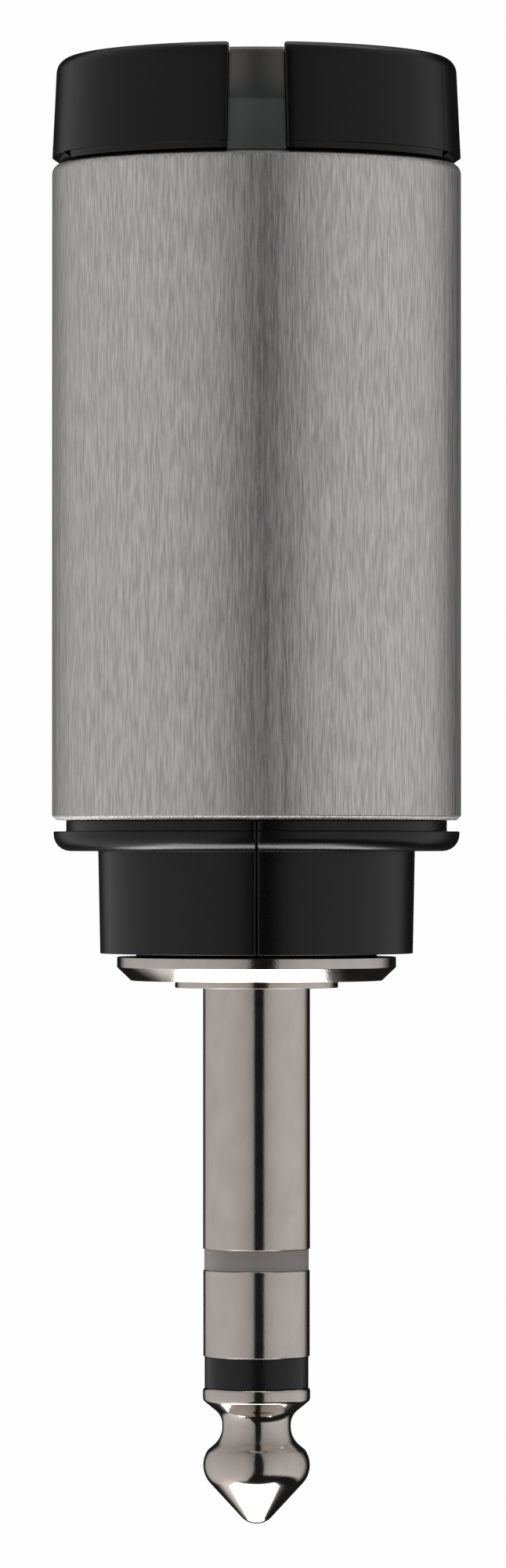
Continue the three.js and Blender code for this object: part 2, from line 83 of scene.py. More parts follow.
def arc(r, z, radius, start, end, steps):
    """Points on a circle in the outline's plane, between two angles in degrees."""
    angles = [math.radians(start + (end - start) * i / steps) for i in range(steps + 1)]
    return [(r + radius * math.cos(a), z + radius * math.sin(a)) for a in angles]


def rounded(corners, steps=5, like=()):
    """An outline from (radius, height, corner radius) corners. A corner radius of 0 stays sharp.

    It keeps as many points as the corners it is like, so that the two outlines can be joined.
    """
    points = []
    for i, (r, z, radius) in enumerate(corners):
        here = Vector((r, z))
        if radius <= 0:
            points += [(r, z)] * (steps + 1 if like and like[i][2] > 0 else 1)
            continue
        before = (Vector(corners[i - 1][:2]) - here).normalized()
        after = (Vector(corners[(i + 1) % len(corners)][:2]) - here).normalized()
        half = before.angle(after) / 2
        centre = here + (before + after).normalized() * (radius / math.sin(half))
        start = here + before * (radius / math.tan(half)) - centre
        end = here + after * (radius / math.tan(half)) - centre
        turn = math.atan2(start.x * end.y - start.y * end.x, start.dot(end))
        for k in range(steps + 1):
            angle = turn * k / steps
            c, s = math.cos(angle), math.sin(angle)
            r_here = centre.x + c * start.x - s * start.y
            z_here = centre.y + s * start.x + c * start.y
            points.append((r_here, z_here))
    return points


# ---- Meshes ------------------------------------------------------------------------------------


class Builder:
    """A mesh made point by point. A point asked for twice is the same vertex."""

    def __init__(self):
        self.mesh = bmesh.new()
        self.known = {}

    def point(self, x, y, z):
        key = (round(x * 1e8), round(y * 1e8), round(z * 1e8))
        if key not in self.known:
            self.known[key] = self.mesh.verts.new((x, y, z))
        return self.known[key]

    def face(self, corners):
        """Adds a face, and leaves out corners that fall together."""
        kept = [c for i, c in enumerate(corners) if c is not corners[i - 1]]
        if len(set(kept)) == len(kept) > 2:
            self.mesh.faces.new(kept)

    def grid(self, rows):
        """Joins rows of vertices with quads."""
        for low, high in zip(rows, rows[1:]):
            for k in range(len(low) - 1):
                self.face([low[k], low[k + 1], high[k + 1], high[k]])

    def make(self, name):
        bmesh.ops.recalc_face_normals(self.mesh, faces=self.mesh.faces)
        data = bpy.data.meshes.new(name)
        self.mesh.to_mesh(data)
        self.mesh.free()
        piece = bpy.data.objects.new(name, data)
        bpy.context.scene.collection.objects.link(piece)
        return piece


def turned(name, outline, steps):
    """An outline turned about Z. It closes on itself, or starts and ends on the axis."""
    builder = Builder()
    closed = outline if outline[0][0] < 1e-9 else outline + outline[:1]
    angles = [2 * math.pi * (k % steps) / steps for k in range(steps + 1)]
    rows = []
    for r, z in closed:
        rows.append([builder.point(r * math.cos(a), r * math.sin(a), z) for a in angles])
    builder.grid(rows)
    return builder.make(name)


def prism(name, section, y0, y1):
    """A straight bar along Y with a section of (x, z) corners."""
    builder = Builder()
    ends = [[builder.point(x, y, z) for x, z in section] for y in (y0, y1)]
    builder.grid([end + end[:1] for end in ends])
    for end in ends:
        builder.face(end)
    return builder.make(name)


def combine(piece, cutter, operation):
    """Cuts, joins or intersects two solids, and uses the second one up."""
    change = piece.modifiers.new("change", "BOOLEAN")
    change.operation = operation
    change.solver = "EXACT"
    change.object = cutter
    graph = bpy.context.evaluated_depsgraph_get()
    data = bpy.data.meshes.new_from_object(piece.evaluated_get(graph))
    piece.modifiers.clear()
    piece.data = data
    bpy.data.objects.remove(cutter)
    return piece


def dress(piece, material, nodes=(), sharp=32):
    """Smooths a piece, gives it its material, and lets it stand for CAD nodes."""
    piece.data.shade_smooth()
    piece.data.set_sharp_from_angle(angle=math.radians(sharp))
    piece.data.materials.clear()
    piece.data.materials.append(material)
    normals = piece.modifiers.new("normals", "WEIGHTED_NORMAL")
    normals.keep_sharp = True
    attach(piece, "root")
    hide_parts(*nodes)
    return piece


# ---- Material helpers --------------------------------------------------------------------------


def plain(name, colour, roughness, metallic=0.0, **extra):
    """A Principled material, with values that are the same all over it."""
    material = bpy.data.materials.new(name)
    material.use_nodes = True
    shader = material.node_tree.nodes["Principled BSDF"]
    shader.inputs["Base Color"].default_value = (*colour, 1)
    shader.inputs["Roughness"].default_value = roughness
    shader.inputs["Metallic"].default_value = metallic
    for socket, value in extra.items():
        shader.inputs[socket.replace("_", " ")].default_value = value
    return material, material.node_tree, shader


def noise(tree, scale, stretch=(1, 1, 1), detail=2.0):
    """Noise in the object's own space, in cells per metre. A stretch below 1 draws it out."""
    place = tree.nodes.new("ShaderNodeTexCoord")
    mapping = tree.nodes.new("ShaderNodeMapping")
    texture = tree.nodes.new("ShaderNodeTexNoise")
    mapping.inputs["Scale"].default_value = [scale * s for s in stretch]
    texture.inputs["Scale"].default_value = 1.0
    texture.inputs["Detail"].default_value = detail
    tree.links.new(place.outputs["Object"], mapping.inputs["Vector"])
    tree.links.new(mapping.outputs["Vector"], texture.inputs["Vector"])
    return texture.outputs["Fac"]


def place_parts(tree):
    """X, Y and Z in the object's own space."""
    place = tree.nodes.new("ShaderNodeTexCoord")
    parts = tree.nodes.new("ShaderNodeSeparateXYZ")
    tree.links.new(place.outputs["Object"], parts.inputs["Vector"])
    return parts.outputs


def spread(tree, source, low, high, start=0.3, end=0.7):
    """Maps a range of a texture's values to low and high."""
    node = tree.nodes.new("ShaderNodeMapRange")
    node.inputs["From Min"].default_value = start
    node.inputs["From Max"].default_value = end
    node.inputs["To Min"].default_value = low
    node.inputs["To Max"].default_value = high
    tree.links.new(source, node.inputs["Value"])
    return node.outputs["Result"]


def join(tree, operation, a, b):
    """A Math node over two values, each a number or a socket."""
    node = tree.nodes.new("ShaderNodeMath")
    node.operation = operation
    for socket, value in zip(node.inputs, (a, b)):
        if isinstance(value, (int, float)):
            socket.default_value = value
        else:
            tree.links.new(value, socket)
    return node.outputs["Value"]


def weighted(tree, *parts):
    """Adds up values, each multiplied by its own share."""
    (first, share), *others = parts
    total = join(tree, "MULTIPLY", first, share)
    for source, share in others:
        total = join(tree, "ADD", total, join(tree, "MULTIPLY", source, share))
    return total


def blend_colours(tree, factor, dark, light):
    """Goes from one colour to another. Each is a tuple or a socket."""
    node = tree.nodes.new("ShaderNodeMix")
    node.data_type = "RGBA"
    tree.links.new(factor, node.inputs[0])
    for socket, value in ((node.inputs[6], dark), (node.inputs[7], light)):
        if isinstance(value, tuple):
            socket.default_value = (*value, 1)
        else:
            tree.links.new(value, socket)
    return node.outputs[2]


def raise_bumps(tree, shader, source, distance, strength=1.0):
    """Turns a texture into relief. The distance is its depth in metres at full strength."""
    node = tree.nodes.new("ShaderNodeBump")
    node.inputs["Distance"].default_value = distance
    node.inputs["Strength"].default_value = strength
    tree.links.new(source, node.inputs["Height"])
    tree.links.new(node.outputs["Normal"], shader.inputs["Normal"])


def shade_of(colour, share):
    """A colour made darker or lighter."""
    return tuple(share * c for c in colour)


# ---- Materials that show -----------------------------------------------------------------------


def brushed_metal():
    """Hairlines run up the barrel, and light spreads across them.

    The cut foot is rough and speckled.
    """
    material, tree, shader = plain(
        "brushed_barrel", (0.6, 0.59, 0.585), 0.285, 1.0, Anisotropic=0.75
    )
    fine = noise(tree, 9500, (1, 1, 0.07), 3)
    broad = noise(tree, 3500, (1, 1, 0.012), 2)
    lines = weighted(tree, (fine, 0.8), (broad, 0.2))
    colour = blend_colours(
        tree, spread(tree, lines, 0, 1, 0.38, 0.62), (0.53, 0.515, 0.51), (0.82, 0.80, 0.795)
    )
    foot_height, soft = 0.25 * MM, 0.03 * MM
    foot = span("metal_shell")[1] + foot_height
    cut = spread(tree, place_parts(tree)[2], 1, 0, foot - soft, foot + soft)
    speckle = spread(tree, noise(tree, 14000, (1, 1, 1), 1), 0, 1, 0.35, 0.65)
    speckled = blend_colours(tree, speckle, (0.3, 0.29, 0.28), (0.9, 0.88, 0.86))
    tree.links.new(blend_colours(tree, cut, colour, speckled), shader.inputs["Base Color"])
    smooth = spread(tree, broad, 0.245, 0.325)
    rough = join(tree, "ADD", smooth, join(tree, "MULTIPLY", cut, 0.3))
    tree.links.new(rough, shader.inputs["Roughness"])
    raise_bumps(tree, shader, lines, 0.026 * MM, 0.7)
    tangent = tree.nodes.new("ShaderNodeTangent")
    tangent.direction_type = "RADIAL"
    tangent.axis = "Z"
    tree.links.new(tangent.outputs["Tangent"], shader.inputs["Tangent"])
    return material


def nickel():
    """Bright plate with faint turning lines round the axis, fine pits and a soft bloom."""
    material, tree, shader = plain("nickel_plate", (0.69, 0.625, 0.57), 0.1, 1.0)
    rings = noise(tree, 6000, (0.02, 0.02, 1), 2)
    bloom = noise(tree, 900, (1, 1, 0.6), 3)
    colour = blend_colours(
        tree, spread(tree, bloom, 0, 1), (0.655, 0.59, 0.54), (0.73, 0.66, 0.605)
    )
    tree.links.new(colour, shader.inputs["Base Color"])
    tree.links.new(spread(tree, bloom, 0.08, 0.12), shader.inputs["Roughness"])
    pits = noise(tree, 13000, (1, 1, 1), 1)
    relief = weighted(tree, (rings, 0.4), (pits, 0.6))
    raise_bumps(tree, shader, relief, 0.012 * MM, 0.35)
    return material


def satin_plastic(name, colour, roughness, grain=0.006, ior=1.46):
    """Moulded plastic from a finely etched tool."""
    material, tree, shader = plain(name, colour, roughness, IOR=ior)
    etch = noise(tree, 14000, (1, 1, 1), 2)
    flow = noise(tree, 260, (1, 1, 0.5), 2)
    tint = blend_colours(
        tree, spread(tree, flow, 0, 1), shade_of(colour, 0.85), shade_of(colour, 1.15)
    )
    tree.links.new(tint, shader.inputs["Base Color"])
    rough = spread(tree, etch, roughness - 0.04, roughness + 0.05)
    tree.links.new(rough, shader.inputs["Roughness"])
    raise_bumps(tree, shader, etch, grain * MM, 0.7)
    return material


def smoked_plastic():
    """Smoked plastic with light and shade painted into its colour: brown and clear-looking over the
    lamp, a painted darker foot to the bar, greyer legs, and painted light on the bar's sides.
    """
    material, tree, shader = plain(
        "smoked_light_pipe", (0.05, 0.05, 0.05), 0.24, Transmission_Weight=0.1, IOR=1.49
    )
    cap_top = span("top_cap")[2]
    step = cap_top - BAR_DEPTH
    low = span("metal_shell")[2]
    x, _, z = place_parts(tree)
    aside = join(tree, "ABSOLUTE", x, 0.0)
    # Painted light and shade by height: the legs are painted lighter upwards, and the bar is
    # painted darker at its foot and lighter towards its top.
    up_leg = spread(tree, z, 0, 1, low, step)
    legs_painted_shade = blend_colours(tree, up_leg, (0.105, 0.115, 0.115), (0.138, 0.14, 0.14))
    up_bar = spread(tree, z, 0, 1, step, cap_top - 1.2 * MM)
    middle = blend_colours(tree, up_bar, (0.058, 0.068, 0.066), (0.095, 0.09, 0.09))
    # Painted light on the bar's sides: high on the bar, it is painted lighter and warmer away from
    # the middle.
    painted_side_light = spread(tree, aside, 0, 1, 0.2 * MM, 1.6 * MM)
    climb = spread(tree, z, 0, 1, step + 0.1 * MM, step + 1.4 * MM)
    bar_painted_light = blend_colours(tree, join(tree, "MULTIPLY", painted_side_light, climb), middle, (0.22, 0.205, 0.195))
    soft = 0.1 * MM
    edge = spread(tree, z, 0, 1, step - soft, step + soft)
    body = blend_colours(tree, edge, legs_painted_shade, bar_painted_light)
    cloud = noise(tree, 420, (1, 1, 1), 2)
    colour = blend_colours(tree, spread(tree, cloud, 0.0, 0.2), body, (0.12, 0.12, 0.12))
    tree.links.new(colour, shader.inputs["Base Color"])
    return material


# ---- Materials inside --------------------------------------------------------------------------


def mottled(name, colour, roughness, metallic=0.0, grain=9000, depth=0.004):
    """A plain finish with fine colour changes and grain."""
    material, tree, shader = plain(name, colour, roughness, metallic)
    fine = noise(tree, grain)
    broad = noise(tree, 400)
    tint = blend_colours(
        tree, spread(tree, broad, 0, 1), shade_of(colour, 0.82), shade_of(colour, 1.1)
    )
    tree.links.new(tint, shader.inputs["Base Color"])
    rough = spread(tree, fine, roughness * 0.85, roughness * 1.15)
    tree.links.new(rough, shader.inputs["Roughness"])
    raise_bumps(tree, shader, fine, depth * MM)
    return material


def circuit_board():
    """Solder mask over a weave, with paler tracks showing through."""
    colour = (0.012, 0.075, 0.035)
    material, tree, shader = plain("circuit_board", colour, 0.42)
    tracks = noise(tree, 700, (1, 0.1, 1), 0)
    line = join(tree, "PINGPONG", join(tree, "MULTIPLY", tracks, 12.0), 1.0)
    copper = spread(tree, line, 0, 1, 0.78, 0.86)
    tint = blend_colours(tree, copper, colour, (0.03, 0.16, 0.07))
    tree.links.new(tint, shader.inputs["Base Color"])
    raise_bumps(tree, shader, copper, 0.02 * MM)
    return material


def cell_wrap():
    """Shrink film with faint wrinkles round the cell, painted darker in the wrinkles' hollows as
    painted shade.
    """
    material, tree, shader = plain("cell_wrap", (0.03, 0.09, 0.22), 0.35)
    wrinkles = noise(tree, 900, (1, 1, 0.2), 3)
    # Painted shade: the film's colour follows the wrinkles' relief and is darker where the relief
    # is low.
    depth = spread(tree, wrinkles, 0, 1)
    tint = blend_colours(tree, depth, (0.025, 0.075, 0.19), (0.035, 0.11, 0.26))
    tree.links.new(tint, shader.inputs["Base Color"])
    raise_bumps(tree, shader, wrinkles, 0.03 * MM)
    return material


FINISHES = {
    "barrel_metal": brushed_metal(),
    "plug_nickel": nickel(),
    "black_plastic": satin_plastic("black_satin_plastic", (0.0022, 0.0022, 0.0022), 0.24),
    "smoked_plastic": smoked_plastic(),
    "grey_insulator": satin_plastic("grey_insulator", (0.4, 0.365, 0.35), 0.34),
    "black_insulator": satin_plastic("black_insulator", (0.006, 0.006, 0.006), 0.26),
    "gasket_rubber": satin_plastic("gasket_rubber", (0.010, 0.010, 0.010), 0.7, 0.02),
    "plain_steel": mottled("plain_steel", (0.5, 0.5, 0.51), 0.33, 1.0),
    "lug_brass": mottled("lug_brass", (0.62, 0.45, 0.19), 0.3, 1.0),
    "circuit_board": circuit_board(),
    "chip_plastic": mottled("chip_plastic", (0.018, 0.018, 0.02), 0.55, 0.0, 16000, 0.01),
    "carrier_plastic": mottled("carrier_plastic", (0.028, 0.029, 0.031), 0.5),
    "cell_wrap": cell_wrap(),
    "foam": mottled("foam", (0.022, 0.022, 0.026), 0.95, 0.0, 3000, 0.15),
    "wire_red": mottled("wire_red", (0.38, 0.015, 0.012), 0.45),
    "wire_black": mottled("wire_black", (0.01, 0.01, 0.01), 0.45),
    "wire_white": mottled("wire_white", (0.62, 0.62, 0.6), 0.45),
    "lamp_white": mottled("lamp_white", (0.8, 0.77, 0.68), 0.3),
    "flex_film": mottled("flex_film", (0.42, 0.16, 0.02), 0.3),
}


def turn_piece(name, outline, steps, slot, nodes):
    """A turned piece in its slot's finish."""
    return dress(turned(name, outline, steps), FINISHES[slot], nodes)


# ---- The barrel, the seat and the gasket -------------------------------------------------------


def add_barrel():
    """The metal tube, with a chamfered foot and a rounded top."""
    r, bottom, top = span("metal_shell")
    wall = 0.9 * MM
    chamfer, chamfer_height = 0.28 * MM, 0.24 * MM
    outline = rounded([
        (r - wall, bottom, 0),
        (r - chamfer, bottom, 0.06 * MM),
        (r, bottom + chamfer_height, 0.2 * MM),
        (r, top, 0.6 * MM),
        (r - wall, top, 0.05 * MM),
    ], 8)
    turn_piece("barrel", outline, BODY_STEPS, "barrel_metal", ["metal_shell"])


def add_seat():
    """The chamfered plate that the plug's shoulder holds, and the gasket over it."""
    r, bottom, top = span("seat_washer")
    hole = 4.45 * MM
    soft = 0.05 * MM
    chamfer, chamfer_height = 0.83 * MM, 0.79 * MM
    outline = rounded([
        (hole, bottom, 0),
        (r - chamfer, bottom, soft),
        (r, bottom + chamfer_height, soft),
        (r, top, soft),
        (hole, top, 0),
    ], 4)
    turn_piece("seat_plate", outline, BODY_STEPS, "plug_nickel", ["seat_washer"])
    r, bottom, top = span("neck_gasket")
    hole = 4.6 * MM
    outline = rounded([(hole, bottom, 0), (r, bottom, soft), (r, top, soft), (hole, top, 0)], 3)
    turn_piece("gasket", outline, BODY_STEPS, "gasket_rubber", ["neck_gasket"])


# ---- The housing -------------------------------------------------------------------------------


def housing_corners():
    """Neck, flange lip, recessed collar and the spigot that the barrel hides."""
    lip_r, bottom, top = span("housing_right")
    neck_low, neck_high, neck_top = 9.28 * MM, 9.40 * MM, 8.09 * MM
    lip_top, collar_top = 9.26 * MM, 9.92 * MM
    collar_r, spigot_r, ledge_r, ledge = 11.3 * MM, 11.0 * MM, 9.6 * MM, 13.2 * MM
    hole, floor, pocket_r, pocket_top = 4.6 * MM, 3.6 * MM, 7.6 * MM, 9.0 * MM
    bore_r = 8.6 * MM
    return [
        (hole, bottom, 0),
        (neck_low, bottom, 0.04 * MM),
        (neck_high, neck_top, 0.05 * MM),
        (lip_r, neck_top, 1.0 * MM),
        (lip_r, lip_top, 0.07 * MM),
        (collar_r, lip_top, 0.06 * MM),
        (collar_r, collar_top, 0.06 * MM),
        (spigot_r, collar_top, 0),
        (spigot_r, top, 0),
        (ledge_r, top, 0),
        (ledge_r, ledge, 0),
        (bore_r, ledge, 0),
        (bore_r, pocket_top, 0),
        (pocket_r, pocket_top, 0),
        (pocket_r, floor, 0),
        (hole, floor, 0),
    ]


def inset(corners, depth):
    """An anticlockwise outline's corners moved into the solid. An outer corner gets tighter."""
    moved = []
    for i, (r, z, radius) in enumerate(corners):
        here = Vector((r, z))
        along = (here - Vector(corners[i - 1][:2])).normalized()
        onward = (Vector(corners[(i + 1) % len(corners)][:2]) - here).normalized()
        first, second = Vector((along.y, -along.x)), Vector((onward.y, -onward.x))
        place = here - (first + second) * (depth / (1 + first.dot(second)))
        outer = along.x * onward.y > along.y * onward.x
        softened = max(radius - depth, 0) if outer else radius + depth
        moved.append((place.x, place.y, softened if radius > 0 else 0))
    return moved


def half_turned(name, corners, side, gap, edge):
    """Half of a turned solid, on one side of X = 0, with a rounded edge along its seam."""
    builder = Builder()
    seam_steps, corner_steps, around = 4, 6, BODY_STEPS // 2
    front, rear = [], []
    for t in range(seam_steps + 1):
        turn = math.radians(90 * t / seam_steps)
        x = gap + edge * (1 - math.cos(turn))
        ring = rounded(inset(corners, edge * (1 - math.sin(turn))), corner_steps, corners)
        for rows, end in ((front, -1), (rear, 1)):
            places = [(side * x, end * math.sqrt(r * r - x * x), z) for r, z in ring]
            rows.append([builder.point(*place) for place in places])
    seam_x = gap + edge
    middle = []
    for k in range(1, around):
        row = []
        for r, z in rounded(corners, corner_steps):
            start = math.asin(seam_x / r)
            angle = start + (math.pi - 2 * start) * k / around
            row.append(builder.point(side * r * math.sin(angle), -r * math.cos(angle), z))
        middle.append(row)
    rows = front + middle + rear[::-1]
    builder.grid([row + row[:1] for row in rows])
    for end in (rows[0], rows[-1]):
        builder.face(list(dict.fromkeys(end)))
    return builder.make(name)


def add_housing():
    """The two moulded halves, which meet at a seam in front and behind."""
    corners = housing_corners()
    seam_gap, seam_edge = 0.015 * MM, 0.14 * MM
    for side, word in ((1, "right"), (-1, "left")):
        half = half_turned(f"housing_half_{word}", corners, side, seam_gap, seam_edge)
        dress(half, FINISHES["black_plastic"], [f"housing_{word}"])


# ---- The cap -----------------------------------------------------------------------------------


class CapShape:
    """The cap's outer surface, and the groove that crosses it from front to rear."""

    lip_inset = 0.54 * MM
    lip_height = 0.35 * MM
    lean = 0.26 * MM
    edge = 0.9 * MM
    rise = 0.25 * MM
    band_height = 0.38 * MM
    band_depth = 0.12 * MM
    band_angle = 69
    slot_angle = 65.5
    slot_depth = 0.4 * MM
    groove_low = 1.75 * MM
    groove_high = 1.6 * MM
    groove_edge = 0.17 * MM
    side_depth = 1.6 * MM
    top_depth = BAR_DEPTH
    pipe_recess = 0.3 * MM

    def __init__(self):
        self.r, self.spigot_bottom, self.top = span("top_cap")
        self.bottom = span("metal_shell")[2] + 0.05 * MM
        self.edge_z = self.top - self.rise - self.edge
        self.floor_z = self.top - self.top_depth
        self.rim_r = self.r - self.lean - self.edge

    def side_r(self, z):
        return self.r - self.lean * (z - self.bottom) / (self.edge_z - self.bottom)

    def half_width(self, z):
        share = (z - self.bottom) / (self.top - self.bottom)
        return self.groove_low + (self.groove_high - self.groove_low) * share

    def dome_z(self, r):
        """The top is slightly domed, and highest beside the groove."""
        nearest = self.groove_high
        return self.top - self.rise * (r * r - nearest * nearest) / self.rim_r**2

    def outside(self):
        """Rows up the outside: (radius, height), the way out, and the place where the band is."""
        out = (1.0, 0.0)
        lip_z = self.bottom + self.lip_height
        band_z = self.bottom + self.band_height
        low_r = self.r - self.lip_inset
        soft = 0.03 * MM
        band_r = self.r - self.band_depth
        rows = [
            ((low_r, self.bottom), out, (band_r - soft, self.bottom)),
            ((low_r + soft, self.bottom + soft / 2), out, (band_r, self.bottom + soft)),
            ((self.side_r(lip_z), lip_z), out, (band_r, band_z - soft)),
            ((self.side_r(band_z), band_z), out, (band_r + soft / 2, band_z)),
        ]
        for k in range(7):
            z = band_z + soft + (self.edge_z - band_z - soft) * k / 7
            rows.append(((self.side_r(z), z), out, (self.side_r(z), z)))
        for point in arc(self.rim_r, self.edge_z, self.edge, 0, 87, 10):
            way = (Vector(point) - Vector((self.rim_r, self.edge_z))).normalized()
            rows.append((point, tuple(way), point))
        return rows

    def columns(self):
        """Angles round one half from front to rear, closest at the ends of the band."""
        slot, band = self.slot_angle, self.band_angle
        ahead = [11 + 1.45 * k for k in range(38)]
        ahead += [slot - 0.1, slot + 0.1, band - 0.1, band + 0.1]
        ahead += [band + 1.5 * k for k in range(1, 14)]
        return ahead + [90] + [180 - a for a in reversed(ahead)]

    def floor_point(self, share, y, z, way):
        """A point of the groove's floor below or behind its edge, at a share of its half width."""
        level = min(z, self.floor_z) if way == (1.0, 0.0) else self.floor_z
        x = share * self.half_width(level)
        wall = math.sqrt((self.side_r(level) - self.side_depth) ** 2 - x * x)
        depth = wall if way == (1.0, 0.0) else min(abs(y), wall)
        return x, math.copysign(depth, y), level


def groove_slice(builder, side, shape, x_edge, y_at, z, way):
    """One slice over the groove's rounded edge and down its wall."""
    steps = 5
    edge = shape.groove_edge
    wall_x = x_edge - edge
    points = []
    for t in range(steps, -1, -1):
        turn = math.radians(90 * t / steps)
        x = wall_x + edge * (1 - math.cos(turn))
        inset = edge * (1 - math.sin(turn))
        y = y_at(x)
        y -= math.copysign(inset * way[0], y)
        points.append(builder.point(side * x, y, z - inset * way[1]))
    x, y, level = shape.floor_point(1, y_at(wall_x), z, way)
    points.append(builder.point(side * x, y, level))
    return points


def floor_strip(builder, shape, x_edge, y_at, z, way):
    """A row of points across the groove's floor, from the right wall to the left."""
    wall_x = x_edge - shape.groove_edge
    steps = 8
    row = []
    for m in range(steps + 1):
        x, y, level = shape.floor_point(1 - 2 * m / steps, y_at(wall_x), z, way)
        row.append(builder.point(x, y, level))
    return row


def cap_half(builder, shape, side):
    """One half's outside and groove wall. Gives back the bottom's corners and the floor's rows."""
    columns = shape.columns()
    outer, front, rear, floors = [], [], [], {-1: [], 1: []}
    for (r, z), way, (band_r, band_z) in shape.outside():
        x_edge = shape.half_width(z) + shape.groove_edge
        start = math.degrees(math.asin(x_edge / band_r))
        row = []
        for angle in [start, *columns, 180 - start]:
            ahead = min(angle, 180 - angle)
            here_r, here_z = (band_r, band_z) if ahead < shape.band_angle else (r, z)
            if shape.slot_angle < ahead < shape.band_angle and (r, z) != (band_r, band_z):
                here_r -= shape.slot_depth
            turn = math.radians(angle)
            x, y = here_r * math.sin(turn), -here_r * math.cos(turn)
            row.append(builder.point(side * x, y, here_z))
        for slices, end in ((front, -1), (rear, 1)):

            def y_at(x, end=end, r=band_r):
                return end * math.sqrt(r * r - x * x)

            line = groove_slice(builder, side, shape, x_edge, y_at, band_z, way)
            slices.append(line)
            floors[end].append(floor_strip(builder, shape, x_edge, y_at, band_z, way))
        row[0], row[-1] = front[-1][0], rear[-1][0]
        outer.append(row)
    builder.grid(outer)
    across = 12
    rim = outer[-1]
    rim_z = shape.outside()[-1][0][1]
    x_edge = shape.half_width(rim_z) + shape.groove_edge
    tops, middle, top_floor = [[rim[0]] * (across + 1)], [], []
    for corner in rim[1:-1]:
        y, far = corner.co.y, abs(corner.co.x)
        row = []
        for m in range(across):
            x = x_edge + (far - x_edge) * m / across
            row.append(builder.point(side * x, y, shape.dome_z(math.hypot(x, y))))
        tops.append(row + [corner])

        def y_on(x, y=y):
            return y

        edge_z = shape.dome_z(math.hypot(x_edge, y))
        middle.append(groove_slice(builder, side, shape, x_edge, y_on, edge_z, (0.0, 1.0)))
        top_floor.append(floor_strip(builder, shape, x_edge, y_on, edge_z, (0.0, 1.0)))
    tops.append([rim[-1]] * (across + 1))
    builder.grid(tops)
    builder.grid(front + middle + rear[::-1])
    contour = front[0][::-1] + outer[0][1:-1] + rear[0]
    return contour, floors[-1] + top_floor + floors[1][::-1]


def add_cap(shape):
    """The cap: outside and groove built point by point, then its hollow, spigot and stem hole cut
    or joined.
    """
    builder = Builder()
    right, floor = cap_half(builder, shape, 1)
    left, _ = cap_half(builder, shape, -1)
    builder.grid(floor)
    builder.face(right + floor[-1][1:-1] + left[::-1] + floor[0][-2:0:-1])
    cap = builder.make("cap")
    bore_r, spigot_r, roof = 9.9 * MM, 11.0 * MM, shape.top - 1.75 * MM
    overlap = 0.02 * MM
    below = shape.bottom - 1 * MM
    hollow = turned("hollow", [(0, below), (bore_r, below), (bore_r, roof), (0, roof)], BODY_STEPS)
    half, beam_z = 2.9 * MM, shape.top - 4.45 * MM
    beam = prism("beam", [(-half, beam_z), (half, beam_z), (half, roof + MM), (-half, roof + MM)],
                 -shape.r, shape.r)
    combine(cap, combine(hollow, beam, "DIFFERENCE"), "DIFFERENCE")
    neck_r = bore_r + 0.4 * MM
    spigot_top, neck_top = shape.bottom + overlap, shape.bottom + 10 * overlap
    spigot = turned("spigot", [
        (bore_r, shape.spigot_bottom),
        (spigot_r, shape.spigot_bottom),
        (spigot_r, spigot_top),
        (neck_r, spigot_top),
        (neck_r, neck_top),
        (bore_r, neck_top),
    ], BODY_STEPS)
    combine(cap, spigot, "UNION")
    hole_r = 1.5 * MM
    low, high = beam_z - MM, shape.floor_z + MM
    hole = turned("hole", [(0, low), (hole_r, low), (hole_r, high), (0, high)], PLUG_STEPS)
    combine(cap, hole, "DIFFERENCE")
    finish = satin_plastic("black_cap_plastic", (0.0018, 0.0018, 0.0018), 0.24, 0.005, 1.38)
    dress(cap, finish, ["top_cap"])


def add_light_pipe(shape):
    """An arch that lies in the cap's groove, set back a little, with a stem down to the lamp."""
    low, high = shape.bottom, shape.top
    gap, skirt = 0.04 * MM, 0.09 * MM

    def outside(inset, top_inset, bottom):
        r = shape.edge - inset / 2
        rim_r = shape.r - shape.lean - inset - r
        rim_z = high - shape.rise - top_inset - r
        side = [(0, bottom), (shape.r - 0.6 * MM, bottom), (shape.r - inset, bottom - skirt)]
        top = [(rim_r / 2, high - shape.rise / 4 - top_inset), (0, high - top_inset)]
        return side + arc(rim_r, rim_z, r, 0, 87, 8) + top

    reach = 2 * shape.r
    top_z = high + MM
    foot = low - skirt
    corners = [(-shape.half_width(low) + gap, foot), (shape.half_width(low) - gap, foot),
               (shape.half_width(top_z) - gap, top_z), (-shape.half_width(top_z) + gap, top_z)]
    pipe = prism("light_strip", corners, -reach, reach)
    recess = shape.pipe_recess
    combine(pipe, turned("outer", outside(recess, recess, low), BODY_STEPS), "INTERSECT")
    inner = outside(shape.side_depth - gap, shape.top_depth - gap, low - MM)
    combine(pipe, turned("inner", inner, BODY_STEPS), "DIFFERENCE")
    stem_r, stem_bottom = 1.4 * MM, span("light_pipe")[1]
    stem_top = shape.floor_z + 0.5 * MM
    stem = [(0, stem_bottom), (stem_r, stem_bottom), (stem_r, stem_top), (0, stem_top)]
    combine(pipe, turned("stem", stem, PLUG_STEPS), "UNION")
    dress(pipe, FINISHES["smoked_plastic"], ["light_pipe"])


# ---- The plug ----------------------------------------------------------------------------------

SOFT_EDGE = 0.06 * MM
# Each collar's top is the bottom of the piece above it.
POLE_TOPS = {
    "ring_insulator": span("plug_sleeve")[1],
    "plug_ring": span("ring_insulator")[1],
    "tip_insulator": span("plug_ring")[1],
}


def pole(name, node, slot, bore, tube, edge=SOFT_EDGE):
    """A collar that shows, over a thin tube that runs up inside the sleeve."""
    r, bottom, tail = span(node)
    top = POLE_TOPS[node]
    outline = rounded([
        (bore, bottom, 0),
        (r, bottom, edge),
        (r, top, edge),
        (tube, top, 0),
        (tube, tail, 0),
        (bore, tail, 0),
    ], 4)
    turn_piece(name, outline, PLUG_STEPS, slot, [node])


